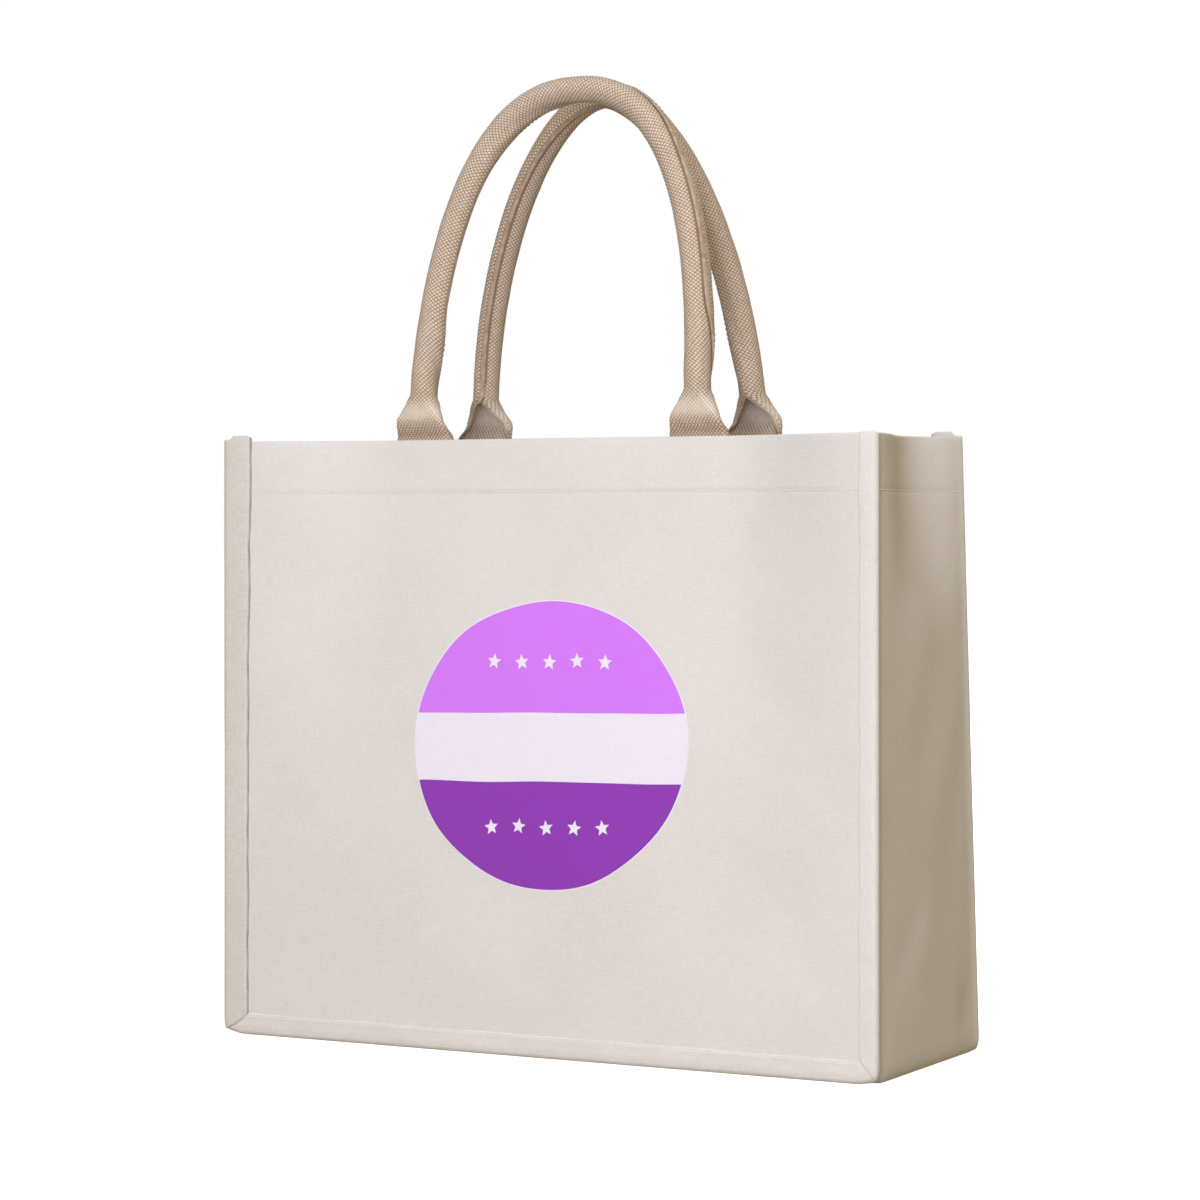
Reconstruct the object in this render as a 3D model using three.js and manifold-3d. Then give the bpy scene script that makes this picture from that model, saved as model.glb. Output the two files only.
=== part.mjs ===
// A canvas shopping bag with a boxed bottom: two wide walls, two narrow side gussets and a base, sewn
// together under stitched bindings, with a round print on the front wall and two rope-cored webbing
// handles that swing on the top hems.
//
// Millimetres, +Z up. The origin is on the floor, at the middle of the base. The front wall faces -Y.

import * as THREE from 'three';
import { mergeVertices } from 'three/addons/utils/BufferGeometryUtils.js';
import Module from 'manifold-3d';

const wasm = await Module();
wasm.setup();

// ---- driving dimensions -----------------------------------------------------------------------------

const WIDTH = 420; // of the front and back walls
const HEIGHT = 353; // from the floor to the top hem
const DEPTH = 148; // from front to back at the floor
const GAP = 0.3; // between pieces that touch

const CLOTH = 1; // thickness of the canvas
const FOLD = 0.4; // slack inside the turned-in hem
const HEM = 31; // depth of the hem
const FLAT_HALF = 110; // the walls are straight between the handles, out to here
const STIFF_EDGE = 2; // and they don't bend this near their side seams
const BEND_POWER = 1.6; // how the walls' inward bend grows with height

const PINCH = 14; // how far the gussets fold inward at the mouth
const PINCH_FROM = 235; // height where that fold starts
const PINCH_AT = 0.62; // where it is deepest, as a share of the depth from the front
const PINCH_EDGE = 0.08; // share of the depth that stays flat at each side of it

const BINDING = 1; // thickness of the edge bindings
const WIDE_BINDING = 17;
const NARROW_BINDING = 10;
const BASE_BINDING = 13;
const BINDING_PROUD = 3; // the wide bindings stand this far above the hem
const THREAD = 0.5;
const STITCH_INSET = 2; // from a binding's inner edge to its stitching

const HANDLE_HALF = 90; // from the middle of the bag to a handle's leg
const HANDLE_RISE = 197.5; // from the hinge line to the middle of the tube at the top
const TUBE_RADIUS = 8;
const WEBBING = 1.6; // thickness of the handles' webbing
const TAB_WIDTH = 40;
const TAB_HEIGHT = 30; // from the hinge line to where the webbing has closed into a tube
const HINGE_RISE = 7; // from the hem to the line on which the handle swings
const ANCHOR_DEPTH = 26; // how far the webbing runs down inside the hem
const ANCHOR_MARGIN = 3; // from the webbing's edges, and the hem's, to the stitching that holds it
const LAP_HEIGHT = 1.6; // how far the lapped seam stands out of the tube
const LAP_HALF = 2.2;

const PRINT_HALF_WIDTH = 89;
const PRINT_HALF_HEIGHT = 82.5;
const PRINT_X = 4.5;
const PRINT_Z = 178;
const BAND_TOP = 18; // from the print's middle to the upper edge of the pale band across it
const BAND_FOOT = 21.5; // and to its lower edge
const INK = 0.2;
const STARS = 5; // in each row
const STAR_PITCH = 18;
const STAR_RADIUS = 4.7;
const STAR_WAIST = 0.45; // a star's inner corners, as a share of its radius
const STAR_ROW = 47; // from the print's middle to a row of stars

// How finely the long curved pieces are divided.
const BINDING_ROWS = 8;
const GUSSET_COLUMNS = 12;
const FILM_COLUMNS = 8;
const FILM_ROWS = 10;
const TAB_COLUMNS = 10;
const TAB_ROWS = 6;
const ARCH_STEPS = 24;

const side = WIDTH / 2 + GAP + CLOTH; // outer face of the gussets, in X
const hemStack = 2 * CLOTH + FOLD; // thickness of the folded hem
const webbingMiddle = hemStack + GAP + WEBBING / 2; // from a wall's outer face to the webbing's middle
const onBinding = 2 * GAP + BINDING; // from a wall's outer face to thread that lies on a binding

// The back wall is built as the front one is, and turned to face +Y.
// `arch` is how square the wall's handle is, `tilt` how far its top leans in over the bag, and `forward`
// how far its tube stands out from its hinge line.
const FRONT = { name: 'front', turn: 0, lean: 0, bow: 24, arch: 2.35, tilt: 27, forward: 4 };
const BACK = { name: 'back', turn: Math.PI, lean: 26, bow: 15.5, arch: 1.8, tilt: 15, forward: 0 };

// ---- materials --------------------------------------------------------------------------------------

const paint = (color, roughness) => new THREE.MeshStandardMaterial({ color, roughness, metalness: 0 });
const canvas = paint(0xe0dad5, 0.95);
const bindingCanvas = paint(0xded7cf, 0.95);
const webbing = paint(0xc4ac8e, 0.9);
const rope = paint(0xd8cdb8, 0.95);
const thread = paint(0xe6e0d4, 0.8);
const paleInk = paint(0xefe6f2, 0.85);
const lilacInk = paint(0xd279f6, 0.85);
const purpleInk = paint(0x8a38ab, 0.85);

// ---- shapes of the walls ----------------------------------------------------------------------------

const { lerp, smoothstep } = THREE.MathUtils;
const steps = (from, to, count) => Array.from({ length: count + 1 }, (_, i) => lerp(from, to, i / count));

// How far a wall stands in from the upright plane through its bottom edge.
function inset(wall, x, z) {
  const rise = z / HEIGHT;
  const middle = 1 - smoothstep(Math.abs(x), FLAT_HALF, WIDTH / 2 - STIFF_EDGE);
  return wall.lean * rise + wall.bow * middle * rise ** BEND_POWER;
}

const onWall = (wall, x, depth, z) => [x, inset(wall, x, z) - DEPTH / 2 + depth, z];

// How far a gusset stands in at share `along` of the way from its front edge to its back edge.
function pinch(along, z) {
  const fold = smoothstep(along, PINCH_EDGE, PINCH_AT) * (1 - smoothstep(along, PINCH_AT, 1 - PINCH_EDGE));
  return PINCH * fold * smoothstep(z, PINCH_FROM, HEIGHT);
}

// Cloth that runs up through the given heights, over the top edge and down again inside. Each station
// gives [depth, height] of the cloth's outer face (0) or inner face (1).
function hemmed(heights) {
  const centre = CLOTH + FOLD / 2;
  const up = heights.map((z) => (inner) => [inner * CLOTH, z]);
  const over = steps(0, Math.PI, 4).slice(1, -1).map((angle) => (inner) => {
    const radius = centre - inner * CLOTH;
    return [centre - radius * Math.cos(angle), HEIGHT - centre + radius * Math.sin(angle)];
  });
  const downTo = [HEIGHT - centre, HEIGHT - HEM / 2, HEIGHT - HEM];
  const down = downTo.map((z) => (inner) => [hemStack - inner * CLOTH, z]);
  return [...up, ...over, ...down];
}

// ---- mesh helpers -----------------------------------------------------------------------------------

// A box whose corners, given as (share across, share through, share up), are moved by `place`.
function bentBox(across, up, place) {
  const geometry = new THREE.BoxGeometry(1, 1, 1, across, 1, up);
  const corner = geometry.attributes.position;
  for (let i = 0; i < corner.count; i += 1) {
    corner.setXYZ(i, ...place(corner.getX(i) + 0.5, corner.getY(i) + 0.5, corner.getZ(i) + 0.5));
  }
  return geometry;
}

function part(name, geometry, material) {
  const mesh = new THREE.Mesh(geometry, material);
  mesh.name = name;
  return mesh;
}

function solid(geometry) {
  const bare = geometry.clone();
  bare.deleteAttribute('normal');
  bare.deleteAttribute('uv');
  const merged = mergeVertices(bare, 1e-4);
  const vertProperties = new Float32Array(merged.attributes.position.array);
  const triVerts = new Uint32Array(merged.index.array);
  return new wasm.Manifold(new wasm.Mesh({ numProp: 3, vertProperties, triVerts }));
}

function fromSolid(body) {
  const { vertProperties, triVerts } = body.getMesh();
  const geometry = new THREE.BufferGeometry();
  geometry.setAttribute('position', new THREE.BufferAttribute(vertProperties, 3));
  geometry.setIndex(new THREE.BufferAttribute(triVerts, 1));
  geometry.computeVertexNormals();
  return geometry;
}

// The station nearest to a share from 0 to 1.
const pick = (list, share) => list[Math.round(share * (list.length - 1))];

// ---- walls, gussets and base ------------------------------------------------------------------------

const wallStations = [
  ...steps(-WIDTH / 2, -FLAT_HALF, 10),
  ...steps(-FLAT_HALF, FLAT_HALF, 4).slice(1, -1),
  ...steps(FLAT_HALF, WIDTH / 2, 10),
];

const hemStart = HEIGHT - CLOTH - FOLD / 2; // where the cloth begins to turn over

function wallPanel(wall) {
  const rows = hemmed(steps(CLOTH + GAP, hemStart, 7));
  return bentBox(wallStations.length - 1, rows.length - 1, (across, through, up) => {
    const [depth, z] = pick(rows, up)(through);
    return onWall(wall, pick(wallStations, across), depth, z);
  });
}

// Made with its outer face towards -Y, and turned to face one side of the bag. `facing` is 1 for the
// right gusset and -1 for the left one.
function gusset(facing) {
  const rows = hemmed([...steps(0, PINCH_FROM, 3), ...steps(PINCH_FROM, hemStart, 8).slice(1)]);
  const innerMargin = hemStack + GAP + CLOTH; // the inner layer of the hem clears the walls' own hems
  const geometry = bentBox(GUSSET_COLUMNS, rows.length - 1, (across, through, up) => {
    const [depth, z] = pick(rows, up)(through);
    const margin = innerMargin * smoothstep(depth, CLOTH, CLOTH + FOLD);
    const front = -DEPTH / 2;
    const back = DEPTH / 2 - (BACK.lean * z) / HEIGHT;
    const along = facing > 0 ? across : 1 - across;
    const y = lerp(front + margin, back - margin, along);
    return [facing * (side - depth - pinch(along, z)), y, z];
  });
  return geometry;
}

function base() {
  const geometry = new THREE.BoxGeometry(WIDTH, DEPTH, CLOTH);
  return geometry.translate(0, 0, CLOTH / 2);
}

// ---- bindings and stitching -------------------------------------------------------------------------

// An upright binding on the wall's left (-1) or right (1), mitred to meet the base binding.
function uprightBinding(wall, hand, width) {
  const top = width === WIDE_BINDING ? HEIGHT + BINDING_PROUD : HEIGHT;
  return bentBox(2, BINDING_ROWS, (across, through, up) => {
    const inward = hand < 0 ? across : 1 - across;
    const x = hand * (side - width * inward);
    const mitre = BASE_BINDING * inward + GAP;
    return onWall(wall, x, -GAP - BINDING * (1 - through), lerp(mitre, top, up));
  });
}

function baseBinding(wall) {
  return bentBox(12, 1, (across, through, up) => {
    const left = -side + WIDE_BINDING * up + GAP;
    const right = side - NARROW_BINDING * up - GAP;
    const z = BASE_BINDING * up;
    return onWall(wall, lerp(left, right, across), -GAP - BINDING * (1 - through), z);
  });
}

// A line of thread on a wall, through the given x and z stations, `lift` out from the wall's face.
function wallThread(wall, stations, lift) {
  const upright = stations[0].x === stations[1].x;
  const half = THREAD / 2;
  const at = (station, through, across) => {
    const x = station.x + (upright ? across * THREAD - half : 0);
    const z = station.z + (upright ? 0 : across * THREAD - half);
    return onWall(wall, x, -lift - THREAD * (1 - through), z);
  };
  return upright
    ? bentBox(1, stations.length - 1, (across, through, up) => at(pick(stations, up), through, across))
    : bentBox(stations.length - 1, 1, (across, through, up) => at(pick(stations, across), through, up));
}

function gussetThread(facing) {
  return bentBox(GUSSET_COLUMNS, 1, (across, through, up) => {
    const along = facing > 0 ? across : 1 - across;
    const z = HEIGHT - HEM + THREAD * (up - 0.5);
    const back = DEPTH / 2 - (BACK.lean * z) / HEIGHT;
    const y = lerp(-DEPTH / 2 + THREAD, back - THREAD, along);
    return [facing * (side + GAP + THREAD * (1 - through) - pinch(along, z)), y, z];
  });
}

// ---- handles ----------------------------------------------------------------------------------------

// The middle of a handle's tube, in the handle's own plane, measured from its hinge line. It starts and
// ends where the webbing has closed into a tube.
class HandleArch extends THREE.Curve {
  constructor(wall) {
    super();
    this.power = wall.arch;
    this.forward = wall.forward;
  }

  getPoint(share, target = new THREE.Vector3()) {
    const start = Math.asin((TAB_HEIGHT / HANDLE_RISE) ** (this.power / 2));
    const angle = lerp(start, Math.PI - start, share);
    const x = HANDLE_HALF * Math.abs(Math.cos(angle)) ** (2 / this.power);
    const height = HANDLE_RISE * Math.sin(angle) ** (2 / this.power);
    return target.set(-Math.sign(Math.cos(angle)) * x, -this.forward, height);
  }
}

const alongArch = (wall, shape, sides) =>
  new THREE.ExtrudeGeometry(shape, {
    extrudePath: new HandleArch(wall),
    steps: ARCH_STEPS,
    curveSegments: sides,
  });

const circle = (radius) => new THREE.Path().absarc(0, 0, radius, 0, 2 * Math.PI);

// The webbing closed round the rope, with its two edges lapped along the side that faces the bag.
// The section's -x direction is that side.
function sleeve(wall) {
  const halfLap = Math.asin(LAP_HALF / TUBE_RADIUS);
  const section = new THREE.Shape();
  section.absarc(0, 0, TUBE_RADIUS, -Math.PI + halfLap, Math.PI - halfLap);
  section.lineTo(-TUBE_RADIUS - LAP_HEIGHT, LAP_HALF);
  section.lineTo(-TUBE_RADIUS - LAP_HEIGHT, -LAP_HALF);
  section.holes.push(circle(TUBE_RADIUS - WEBBING));
  return alongArch(wall, section, 6);
}

function core(wall) {
  const section = new THREE.Shape(circle(TUBE_RADIUS - WEBBING - 2 * GAP).getPoints(5).slice(0, -1));
  return alongArch(wall, section, 8);
}

// The seam's thread runs beside the lap, on the tube's flank.
function seamThread(wall) {
  const edge = LAP_HALF + GAP;
  const out = TUBE_RADIUS + GAP;
  const section = new THREE.Shape([
    new THREE.Vector2(-out, edge),
    new THREE.Vector2(-out, edge + THREAD),
    new THREE.Vector2(-out - THREAD, edge + THREAD),
    new THREE.Vector2(-out - THREAD, edge),
  ]);
  return alongArch(wall, section, 1);
}

// Webbing that is flat at the hinge line and has curled into the tube at the top, where it leans inward
// as the tube does.
function tab(wall, hand) {
  const tube = TUBE_RADIUS - WEBBING / 2;
  const arch = new HandleArch(wall);
  const shift = HANDLE_HALF + arch.getPoint(0).x;
  const lean = Math.asin(arch.getTangent(0).x);
  return bentBox(TAB_COLUMNS, TAB_ROWS, (across, through, up) => {
    const curl = Math.max(smoothstep(up, 0, 1), 1e-3);
    const radius = tube / curl;
    const angle = ((across - 0.5) * TAB_WIDTH) / radius;
    const reach = radius + WEBBING * (0.5 - through);
    const centre = radius - tube * curl;
    const height = lerp(GAP, TAB_HEIGHT - GAP, up);
    const side = reach * Math.sin(angle);
    const x = hand * (HANDLE_HALF - shift * up ** 2) + side * Math.cos(lean * up);
    const y = centre - reach * Math.cos(angle) - wall.forward * smoothstep(up, 0, 1);
    return [x, y, height + hand * side * Math.sin(lean * up)];
  });
}

// The end of the webbing, sewn flat against the inside of the hem.
function anchor(wall, hand) {
  const top = HEIGHT + HINGE_RISE - 2 * WEBBING;
  return bentBox(4, 1, (across, through, up) => {
    const x = hand * HANDLE_HALF + (across - 0.5) * TAB_WIDTH;
    return onWall(wall, x, hemStack + GAP + WEBBING * through, lerp(HEIGHT - ANCHOR_DEPTH, top, up));
  });
}

// A rectangle of stitching that holds the anchor to the hem, on the inside of the bag.
function anchorStitching(wall, hand) {
  const halfWidth = TAB_WIDTH / 2 - ANCHOR_MARGIN;
  const low = HEIGHT - ANCHOR_DEPTH + ANCHOR_MARGIN;
  const high = HEIGHT - ANCHOR_MARGIN;
  const frame = (grow) =>
    [
      [-halfWidth - grow, low - grow],
      [halfWidth + grow, low - grow],
      [halfWidth + grow, high + grow],
      [-halfWidth - grow, high + grow],
    ].map(([x, z]) => new THREE.Vector2(hand * HANDLE_HALF + x, z));
  const outline = new THREE.Shape(frame(THREAD));
  outline.holes.push(new THREE.Path(frame(0)));
  const geometry = new THREE.ExtrudeGeometry(outline, { depth: THREAD, bevelEnabled: false });
  geometry.rotateX(Math.PI / 2);
  const corner = geometry.attributes.position;
  const inside = hemStack + GAP + WEBBING + GAP + THREAD;
  for (let i = 0; i < corner.count; i += 1) {
    const [x, depth, z] = [corner.getX(i), inside + corner.getY(i), corner.getZ(i)];
    corner.setXYZ(i, ...onWall(wall, x, depth, z));
  }
  return geometry;
}

function handle(wall) {
  const group = new THREE.Group();
  const foot = inset(wall, HANDLE_HALF, HEIGHT + HINGE_RISE) - DEPTH / 2 + webbingMiddle;
  group.position.set(0, foot, HEIGHT + HINGE_RISE);
  group.rotation.x = -Math.asin(wall.tilt / HANDLE_RISE);
  group.add(part(`${wall.name}_handle_sleeve`, sleeve(wall), webbing));
  group.add(part(`${wall.name}_handle_core`, core(wall), rope));
  group.add(part(`${wall.name}_handle_seam_stitching`, seamThread(wall), thread));
  for (const hand of [-1, 1]) {
    group.add(part(`${wall.name}_handle_${sideName(wall, hand)}_tab`, tab(wall, hand), webbing));
  }
  return group;
}

// ---- the round print --------------------------------------------------------------------------------

// A film of ink on the front wall, cut to `outline`, which is drawn in x and z.
function ink(outline, lift) {
  const margin = 2; // of the film past the outline that it is cut to
  const film = bentBox(FILM_COLUMNS, FILM_ROWS, (across, through, up) => {
    const x = PRINT_X + (PRINT_HALF_WIDTH + margin) * lerp(-1, 1, across);
    const z = PRINT_Z + (PRINT_HALF_HEIGHT + margin) * lerp(-1, 1, up);
    return onWall(FRONT, x, -lift - INK * (1 - through), z);
  });
  const cutter = new THREE.ExtrudeGeometry(outline, {
    depth: 2 * DEPTH,
    bevelEnabled: false,
    curveSegments: 40,
  });
  cutter.rotateX(Math.PI / 2).translate(PRINT_X, DEPTH, PRINT_Z);
  return fromSolid(solid(film).intersect(solid(cutter)));
}

function star(x, z) {
  const points = steps(0, 2 * Math.PI, 10).slice(0, -1).map((angle, i) => {
    const radius = i % 2 ? STAR_RADIUS * STAR_WAIST : STAR_RADIUS;
    return new THREE.Vector2(x + radius * Math.sin(angle), z + radius * Math.cos(angle));
  });
  return new THREE.Path(points);
}

// The cap of the disc above (1) or below (-1) the middle band, with its row of stars left open.
function capOutline(up) {
  const edge = Math.asin((up > 0 ? BAND_TOP : BAND_FOOT) / PRINT_HALF_HEIGHT);
  const middle = up > 0 ? 0 : Math.PI;
  const outline = new THREE.Shape();
  const [halfWidth, halfHeight] = [PRINT_HALF_WIDTH - 1, PRINT_HALF_HEIGHT - 1];
  outline.absellipse(0, 0, halfWidth, halfHeight, middle + edge, middle + Math.PI - edge);
  for (let i = 0; i < STARS; i += 1) {
    outline.holes.push(star((i - (STARS - 1) / 2) * STAR_PITCH, up * STAR_ROW));
  }
  return outline;
}

// ---- assembly ---------------------------------------------------------------------------------------

function sideName(wall, hand) {
  const worldHand = wall.turn ? -hand : hand;
  return worldHand < 0 ? 'left' : 'right';
}

// Everything sewn to one wall. Seen from outside, the wide binding is on its left.
function wallAssembly(wall) {
  const group = new THREE.Group();
  group.rotation.z = wall.turn;
  group.add(part(`${wall.name}_panel`, wallPanel(wall), canvas));
  for (const [hand, width] of [[-1, WIDE_BINDING], [1, NARROW_BINDING]]) {
    const name = `${wall.name}_${sideName(wall, hand)}_binding`;
    const line = steps(BASE_BINDING + STITCH_INSET, HEIGHT - STITCH_INSET, BINDING_ROWS).map((z) => ({
      x: hand * (side - width + STITCH_INSET),
      z,
    }));
    group.add(part(name, uprightBinding(wall, hand, width), bindingCanvas));
    group.add(part(`${name}_stitching`, wallThread(wall, line, onBinding), thread));
  }
  const baseLine = steps(-side + WIDE_BINDING, side - NARROW_BINDING, 12).map((x) => ({
    x,
    z: BASE_BINDING - STITCH_INSET,
  }));
  const hemLine = wallStations.slice(2, -1).map((x) => ({ x, z: HEIGHT - HEM }));
  const baseName = `${wall.name}_base_binding`;
  group.add(part(baseName, baseBinding(wall), bindingCanvas));
  group.add(part(`${baseName}_stitching`, wallThread(wall, baseLine, onBinding), thread));
  group.add(part(`${wall.name}_hem_stitching`, wallThread(wall, hemLine, GAP), thread));
  for (const hand of [-1, 1]) {
    const name = `${wall.name}_handle_${sideName(wall, hand)}_anchor`;
    group.add(part(name, anchor(wall, hand), webbing));
    group.add(part(`${name}_stitching`, anchorStitching(wall, hand), thread));
  }
  group.add(handle(wall));
  return group;
}

const bag = new THREE.Group();
bag.add(wallAssembly(FRONT), wallAssembly(BACK));
bag.add(part('base_panel', base(), canvas));
for (const [name, facing] of [['left', -1], ['right', 1]]) {
  bag.add(part(`${name}_gusset`, gusset(facing), canvas));
  bag.add(part(`${name}_gusset_hem_stitching`, gussetThread(facing), thread));
}
const disc = new THREE.Shape().absellipse(0, 0, PRINT_HALF_WIDTH, PRINT_HALF_HEIGHT, 0, 2 * Math.PI);
bag.add(part('print_ground', ink(disc, GAP), paleInk));
bag.add(part('print_upper_band', ink(capOutline(1), 2 * GAP + INK), lilacInk));
bag.add(part('print_lower_band', ink(capOutline(-1), 2 * GAP + INK), purpleInk));

export default bag;
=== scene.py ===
"""A canvas shopping bag with stitched edge bindings, a round print and two rope-cored webbing handles.

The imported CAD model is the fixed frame, and every soft piece here is built in its place.
Metres, +Z up. The front wall faces -Y, and the floor is at Z = 0.
"""

import math

import bmesh
import bpy
import numpy as np
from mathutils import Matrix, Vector, geometry


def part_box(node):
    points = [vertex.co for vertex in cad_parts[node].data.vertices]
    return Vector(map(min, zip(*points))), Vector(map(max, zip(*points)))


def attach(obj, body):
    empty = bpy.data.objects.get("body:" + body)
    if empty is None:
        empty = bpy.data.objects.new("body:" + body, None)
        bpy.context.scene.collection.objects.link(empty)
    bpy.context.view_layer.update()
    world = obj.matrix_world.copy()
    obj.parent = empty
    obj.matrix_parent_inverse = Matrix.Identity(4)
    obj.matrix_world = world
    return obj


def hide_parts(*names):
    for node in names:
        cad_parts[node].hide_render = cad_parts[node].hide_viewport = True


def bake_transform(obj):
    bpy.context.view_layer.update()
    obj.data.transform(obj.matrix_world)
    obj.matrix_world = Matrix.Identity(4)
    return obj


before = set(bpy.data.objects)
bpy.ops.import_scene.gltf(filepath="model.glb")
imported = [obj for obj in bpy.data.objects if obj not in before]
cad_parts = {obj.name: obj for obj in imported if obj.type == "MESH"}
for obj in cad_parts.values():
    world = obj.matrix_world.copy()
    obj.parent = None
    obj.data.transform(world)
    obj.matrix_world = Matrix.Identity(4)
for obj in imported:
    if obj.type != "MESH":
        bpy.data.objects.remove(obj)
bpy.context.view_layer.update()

# ---- sizes, read from the frame where it has them ----

MM = 0.001


def box_size(node):
    low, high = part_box(node)
    return high - low


WIDTH = box_size("base_panel").x
DEPTH = box_size("base_panel").y
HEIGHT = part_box("front_panel")[1].z
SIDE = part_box("right_gusset")[1].x  # outer face of the gussets

CLOTH = 1 * MM
FOLD = 0.4 * MM  # slack inside the turned-in hem
HEM = 31 * MM
FLAT_HALF = 110 * MM  # the walls are straight between the handles, out to here
STIFF_EDGE = 2 * MM  # a wall's upright edges stay straight this far in
BEND_POWER = 1.6  # how late a wall bends inward on its way up
CORNER = 2.8 * MM  # radius of the bag's sewn edges
CORNER_LIFT = 2.2 * MM  # how far a bottom corner curls up from the floor
CORNER_REACH = 12 * MM
CURL_REACH = 6 * MM  # the cloth needs closer points this near to a sewn edge
CURL_STEP = 0.5 * MM
CLOTH_STEP = 3 * MM
BASE_STEP = 4 * MM
HEM_CENTRE = CLOTH + FOLD / 2
HEM_STACK = 2 * CLOTH + FOLD
PUCKER = 1.3 * MM  # half the width of the groove that the hem's stitching pulls

PINCH = 16 * MM  # how far a gusset folds in at its top
PINCH_FROM = 235 * MM  # the height where that fold starts
PINCH_AT = 0.62  # its deepest line, as a share of the way from the front
PINCH_EDGE = 0.08  # the share beside the front seam that stays flat

WIDE_BINDING = 17 * MM
NARROW_BINDING = 10 * MM
BASE_BINDING = 13 * MM
WIDE_PAD = 1.5 * MM  # how far a wide binding stands out of the wall
NARROW_PAD = 0.6 * MM
BINDING_EDGE = 0.25 * MM  # how far the very edge of a binding stands out
BINDING_ROUND = 1.4 * MM  # the width of its rounded edge
BINDING_PROUD = 2.4 * MM  # a wide binding's top stands this far above the hem
BINDING_GAP = 0.3 * MM  # at a binding's ends
BINDING_SEAT = 0.02 * MM  # under it
FLARE = 1.2 * MM  # a wide binding is this much wider at its top
FLARE_FROM = 200 * MM
STITCH_INSET = 2 * MM
STITCH_DEPTH = 0.05 * MM  # into a binding, and out of the hem's groove
STITCH_PITCH = 3.1 * MM
STITCH_LENGTH = 2.3 * MM
THREAD_RADIUS = 0.27 * MM

HANDLE_HALF = 90 * MM  # from the middle of the bag to a leg
HANDLE_RISE = 197.5 * MM  # from the hinge line to the middle of the tube at the top
TUBE = 6.9 * MM  # radius of the middle of the webbing, closed round the rope
WEBBING = 1.6 * MM
WEAVE_CELL = 1.15 * MM  # half of the webbing's weave pitch
WEAVE_RELIEF = 0.26 * MM
SELVEDGE = 0.945  # where it starts, as a share of the way from the webbing's middle to its edge
TAB_HALF = 20 * MM
TUBE_LAP = 1.1  # the webbing's width round the tube, as a share of the way round
TUBE_HALF = TUBE_LAP * math.pi * TUBE
FOLD_RADIUS = 2.2 * MM  # of the tab's folded edges
TAB_HEIGHT = 30 * MM
CLOSED_AT = 28 * MM  # above the hem, where the webbing has closed round the rope
# Half of a tab's width, at heights above the hem.
TAB_OUTLINE = np.array([[-8, 0, 6.3, 12.5, 19, 25, 28], [20, 18.6, 16.9, 14.9, 11.2, 8.6, 7.7]]) * MM
LAP_LIFT = 1.75 * MM  # how far one edge of the webbing stands over the other
SEAM_LINE = 1.1 * MM  # half the width of the shaded line beside the lap
SEAM_INSET = 1.6 * MM  # of the tube's stitches from the lapping edge
HINGE_RISE = 7 * MM
HINGE_Z = HEIGHT + HINGE_RISE
HINGE_GAP = 0.3 * MM  # between the hem and the webbing at the hinge line
ANCHOR_GAP = 0.35 * MM  # between the hem and the webbing's ends inside it
ANCHOR_FOOT = HEIGHT - 26 * MM
ANCHOR_MARGIN = 3 * MM  # from a webbing end's edges to the stitches that hold it
ROPE_RADIUS = 5.1 * MM
ROPE_LAY = 38 * MM  # the length of one turn of its strands
ROPE_END = 0.62 * TAB_HEIGHT  # from the hinge line
ROPE_SIDES = 24
ROPE_RINGS = 320

PRINT_HALF_WIDTH = box_size("print_ground").x / 2
PRINT_HALF_HEIGHT = box_size("print_ground").z / 2
PRINT_X = 4.5 * MM
PRINT_Z = 178 * MM
PRINT_TILT = math.radians(1.1)
BAND_TOP = 18 * MM  # from the print's middle to the upper edge of the pale band across it
BAND_FOOT = 21.5 * MM
STARS = 5
STAR_PITCH = 18 * MM
STAR_RADIUS = 4.7 * MM
STAR_WAIST = 0.45
STAR_ROW = 47 * MM
GROUND_INK = 0.07 * MM
BAND_INK = 0.13 * MM
INK_ROOT = -0.05 * MM  # the films' undersides, inside the cloth
OUTLINE_STEP = 1.5 * MM
FILM_GRID = 5 * MM

# Each wall, and its handle: how square its arch is, how far its top leans in over the bag, how far its
# tube stands out from its hinge line, the degrees its webbing has turned about the rope on its first and
# second leg, and which of its edges laps over the other.
FRONT = dict(name="front", turn=1, lean=0, bow=24 * MM)
FRONT.update(arch=2.35, tilt=27 * MM, forward=4 * MM, twist=(-112, 100), over=1)
BACK = dict(name="back", turn=-1, lean=26 * MM, bow=15.5 * MM)
BACK.update(arch=1.8, tilt=15 * MM, forward=0, twist=(-75, 5), over=-1)


def smooth(x, start, end):
    t = np.clip((x - start) / (end - start), 0, 1)
    return t * t * (3 - 2 * t)


def bell(x, middle, width):
    return np.exp(-(((x - middle) / width) ** 2))


def ripple(a, b, length, seed):
    """Soft unevenness of hand-sewn cloth, from -1 to 1, without any random draw."""
    k = 2 * math.pi / length
    one = np.sin(k * a + 1.3 * seed) * np.sin(0.83 * k * b + 2.1 * seed)
    two = np.sin(k * (0.71 * a + 1.37 * b) + 0.7 * seed)
    three = np.sin(k * (1.61 * a - 0.57 * b) + 3.1 * seed)
    return (one + 0.6 * two + 0.4 * three) / 2


def waver(a, length, seed):
    """The same unevenness along a line."""
    return ripple(a, 0 * a, length, seed)


# ---- the bag's shape ----


def rounded(points, out):
    """Points on the sharp box of the bag, moved `out` from it and rounded at its sewn edges."""
    half = np.array([SIDE - CORNER, DEPTH / 2 - CORNER])
    core = points.copy()
    core[..., 0] = np.clip(points[..., 0], -half[0], half[0])
    core[..., 1] = np.clip(points[..., 1], -half[1], half[1])
    core[..., 2] = np.maximum(points[..., 2], CORNER)
    away = points - core
    away /= np.linalg.norm(away, axis=-1, keepdims=True)
    return core + (CORNER + np.asarray(out)[..., None]) * away


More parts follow.
